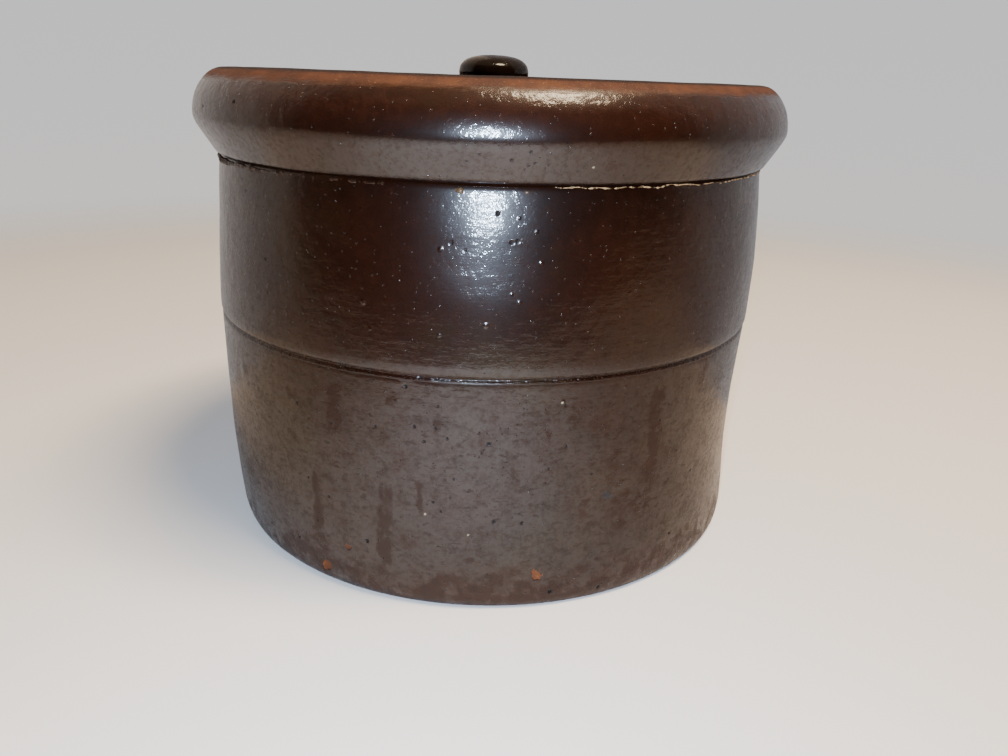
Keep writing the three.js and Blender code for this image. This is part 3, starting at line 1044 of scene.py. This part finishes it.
for vert in lid.verts:
    radius, height = vert.co.xy.length / MM, vert.co.z / MM
    free = smooth(height, LID_BASE + 2.2, LID_BASE + 5.0) * smooth(radius, 12.0, 20.0)
    vert.co += vert.normal * hand_marks(vert.co + Vector((1, 0, 0))) * LID_LOOSENESS * free
    vert[lid_bare] = 1 - smooth(height, LID_BASE + 3.2, LID_BASE + 5.4)
    vert[lid_worn] = LID_WEAR
finish_piece("lid", lid, lid_glaze, "lid", "lid_glaze", "lid_disc")

# %% [markdown]
# ## The knob
# The knob was thrown on its own as a button with a narrow neck, luted on with slip and dipped in the
# darkest, glossiest glaze. Its outline has a flared foot, the neck, a rounded underside and a flattened
# dome. A ring of slip closes the joint at its foot.

# %% Knob and its slip
knob_low, knob_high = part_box("lid_knob")
KNOB_RADIUS = knob_high[0] / MM
KNOB_TOP = knob_high[2] / MM
KNOB_BASE = BOSS_TOP + 0.3
KNOB_STEPS = 128
KNOB_LEAN = 0.6 * MM
KNOB_DENT = 0.14 * MM
PEG_RADIUS = 5.0
PEG_BASE = KNOB_BASE - 3.0
KNOB_FOOT_RADIUS = 11.3
SLIP_RADIUS = 11.5
SLIP_THICKNESS = 0.75
NECK_TOP = KNOB_BASE + 6.2
EQUATOR = NECK_TOP + 6.2

knob_outline = section(
    (0.0, PEG_BASE),
    (1.5, [(PEG_RADIUS, PEG_BASE)]),
    (1.5, [(PEG_RADIUS, KNOB_BASE)]),
    (1.5, [(KNOB_FOOT_RADIUS, KNOB_BASE)]),
    (0.5, [(9.3, KNOB_BASE + 1.2), (8.4, KNOB_BASE + 3.4), (8.5, NECK_TOP - 0.6)]),
    (0.5, [
        (10.4, NECK_TOP + 0.4), (13.2, NECK_TOP + 1.6), (14.5, NECK_TOP + 3.3), (14.9, NECK_TOP + 4.8),
        (KNOB_RADIUS, EQUATOR), (14.1, EQUATOR + 2.5), (11.1, EQUATOR + 4.8), (5.8, EQUATOR + 6.1),
        (0.0, KNOB_TOP),
    ]),
)
knob = turned(knob_outline, KNOB_STEPS)
for vert in knob.verts:
    free = smooth(vert.co.z / MM, KNOB_BASE + 1, KNOB_BASE + 4)
    vert.co += vert.normal * KNOB_DENT * noise.noise(vert.co * 120) * free
    vert.co.x += KNOB_LEAN * free
finish_piece("knob", knob, knob_glaze, "lid", "knob_glaze", "lid_knob")

slip = spun_ring(SLIP_RADIUS, BOSS_TOP, SLIP_THICKNESS, sides=10, steps=96)
for vert in slip.verts:
    vert.co += vert.normal * 0.3 * MM * noise.noise(vert.co * 260)
finish_piece("knob_slip", slip, knob_glaze, "lid", "knob_glaze")

# %% [markdown]
# ## Studio
# The floor is plain and pale, and fades into the backdrop far away. A glossy pot mirrors all that stands
# round it, so the floor has two looks: the camera sees it plain, and glossy rays find a painted pool of
# light just in front of the crock, dimmer further off, and painted dark past the table's edge, which
# stands for the unlit room.

# %% Floor
FLOOR_SIZE = 6.0
TABLE_EDGE = (0.30, 0.44)
EDGE_SLANT = 0.30
SEEN_FLOOR = (0.55, 1.10)
# Centre and reach of a painted pool of light that glossy rays find on the floor.
LIGHT_POOL_CENTRE = (-0.03, -0.23, 0.0)
LIGHT_POOL_REACH = (0.05, 0.24)

floor_material, tree, shader = new_material("floor")
vector = add(tree, "TexCoord").outputs["Object"]
far = from_vectors(tree, "LENGTH", vector)["Value"]
rays = add(tree, "LightPath").outputs
across, forward = add(tree, "SeparateXYZ", {"Vector": vector}).outputs[:2]
slant = times(tree, larger(tree, across, 0.0), EDGE_SLANT)
past = calculate(tree, "SUBTRACT", times(tree, forward, -1.0), slant)
away = from_vectors(tree, "DISTANCE", vector, LIGHT_POOL_CENTRE)["Value"]
outside_light_pool = times(tree, rays["Is Glossy Ray"], rise(tree, away, *LIGHT_POOL_REACH))
# Past the table's edge glossy rays find painted dark, standing for the unlit room.
painted_dark_room = times(tree, rays["Is Glossy Ray"], rise(tree, past, *TABLE_EDGE))
floor_with_light_pool = blend(tree, outside_light_pool, paint(240, 236, 232), paint(178, 169, 162))
colour = blend(tree, painted_dark_room, floor_with_light_pool, paint(8, 6, 5))
join(tree, shader, {"Base Color": colour, "Roughness": 0.7, "Specular IOR Level": 0.2})
fade = times(tree, rays["Is Camera Ray"], rise(tree, far, *SEEN_FLOOR))
clear = add(tree, "BsdfTransparent").outputs[0]
mixed = add(tree, "MixShader", {0: fade, 1: shader.outputs[0], 2: clear}).outputs[0]
join(tree, tree.nodes["Material Output"], {"Surface": mixed})

floor_shape = bmesh.new()
bmesh.ops.create_grid(floor_shape, x_segments=1, y_segments=1, size=FLOOR_SIZE / 2)
new_object("floor", floor_shape, floor_material)
print("floor nodes:", len(tree.nodes), "size in m:", FLOOR_SIZE)

# %% [markdown]
# ## White cards
# A photographer puts white cards beside a dark glossy thing to draw its edges. Two cards stand behind
# the crock. Only its reflections see them: they are hidden from the camera, cast no shadow and block no
# soft light, so that they never disturb another view.

# %% White cards
CARD_CORNER = Vector((-0.021, 0.243, 0.0))
CARD_WIDTH = 0.62
CARD_HEIGHT = 0.55
CARD_TURNS = {"left_card": math.radians(220.6), "right_card": math.radians(-37.7)}

card_material, tree, shader = new_material("card")
join(tree, shader, {"Base Color": paint(160, 157, 155), "Roughness": 0.8})
for name, turn in CARD_TURNS.items():
    placing = (
        Matrix.Translation(CARD_CORNER)
        @ Matrix.Rotation(turn, 4, "Z")
        @ Matrix.Diagonal((CARD_WIDTH, 1, CARD_HEIGHT, 1))
        @ Matrix.Translation((0.5, 0, 0.5))
        @ Matrix.Rotation(math.pi / 2, 4, "X")
    )
    card_shape = bmesh.new()
    bmesh.ops.create_grid(card_shape, x_segments=1, y_segments=1, size=0.5, matrix=placing)
    card = new_object(name, card_shape, card_material)
    card.visible_camera = False
    card.visible_shadow = False
    card.visible_diffuse = False
    print(name, "turned to", round(math.degrees(turn)), "degrees")

# %% [markdown]
# ## The room
# The world stands for the room: pale behind the crock, dark behind the camera and dim brown overhead.
# The camera itself sees a plain pale backdrop instead, which the Light Path node tells apart.

# %% World
world = bpy.data.worlds.new("studio")
bpy.context.scene.world = world
world.use_nodes = True
tree = world.node_tree
aim = add(tree, "SeparateXYZ", {"Vector": add(tree, "TexCoord").outputs["Generated"]}).outputs
behind = rise(tree, aim["Y"], -0.35, 0.35)
overhead = rise(tree, aim["Z"], 0.60, 0.88)
room = blend(tree, behind, paint(10, 7, 6), paint(206, 206, 210))
room = blend(tree, overhead, room, paint(158, 140, 120))
backdrop = blend(tree, rise(tree, aim["Z"], -0.20, 0.10), paint(238, 234, 230), paint(226, 226, 229))
seen = add(tree, "LightPath").outputs["Is Camera Ray"]
join(tree, tree.nodes["Background"], {"Color": blend(tree, seen, room, backdrop)})
print("world nodes:", len(tree.nodes))

# %% [markdown]
# ## The lamps
# A small cool flash next to the camera makes the hard glare on the wall and the rim. A warm ceiling lamp
# to the right makes the long glare on the rim's shoulder and the soft shadow on the left. Its place was
# found by following the glare back from the camera over the rim's curve. A second one warms that side
# without a glare of its own.

# %% Lamps
LAMP_AIM = Vector((0.0, 0.0, 0.10))


def lamp(name, place, size, power, colour, mirrored=True):
    """A round soft light at a place, turned to the crock, which the glaze may mirror."""
    data = bpy.data.lights.new(name, "AREA")
    data.shape = "DISK"
    data.size = size
    data.energy = power
    data.color = colour
    light = in_scene(name, data)
    turn = (LAMP_AIM - Vector(place)).to_track_quat("-Z", "Y").to_matrix().to_4x4()
    light.matrix_world = Matrix.Translation(place) @ turn
    light.visible_glossy = mirrored


lamp("flash", (0.0001, -0.381, 0.180), 0.012, 2.2, (0.60, 0.77, 1.0))
lamp("ceiling_near", (0.350, -0.290, 1.360), 0.46, 24.0, (1.0, 0.77, 0.52))
lamp("ceiling_far", (0.594, -0.203, 1.295), 0.25, 8.0, (1.0, 0.78, 0.55), mirrored=False)
print("lights:", [item.name for item in bpy.data.lights])
